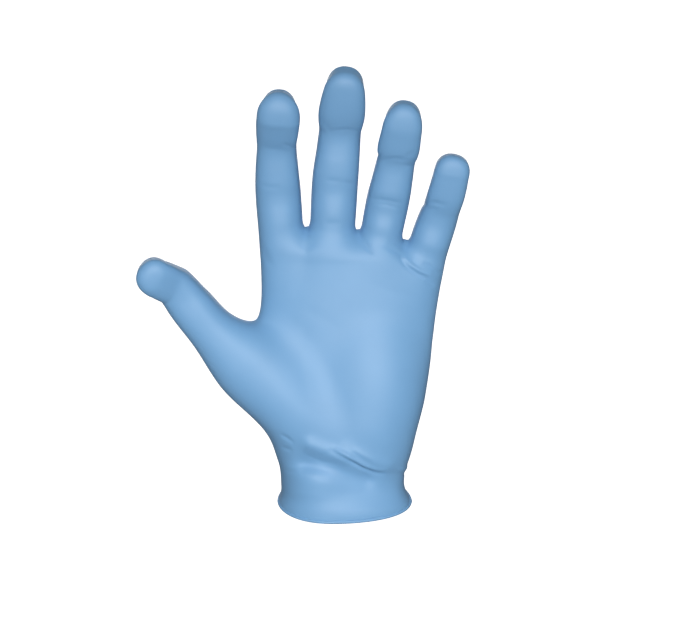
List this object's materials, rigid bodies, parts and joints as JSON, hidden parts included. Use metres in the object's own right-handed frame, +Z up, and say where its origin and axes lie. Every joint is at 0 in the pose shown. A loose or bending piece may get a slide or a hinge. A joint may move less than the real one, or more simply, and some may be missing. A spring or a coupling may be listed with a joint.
{
  "type": "examination glove",
  "caption": "Thin blue nitrile examination glove in its worn shape, palm to the front, with spread digits, a short cuff and a rolled bead round the wrist opening.",
  "frame": {"origin": "the middle of the wrist opening, at the level of the rolled rim", "axes": "+Z runs up from the wrist opening to the fingertips, -Y is the palm side and -X the thumb side"},
  "size_m": [0.1681, 0.0491, 0.2323],
  "materials": {
    "nitrile": "satin"
  },
  "bodies": {
    "root": {"glove": "nitrile"}
  },
  "joints": []
}
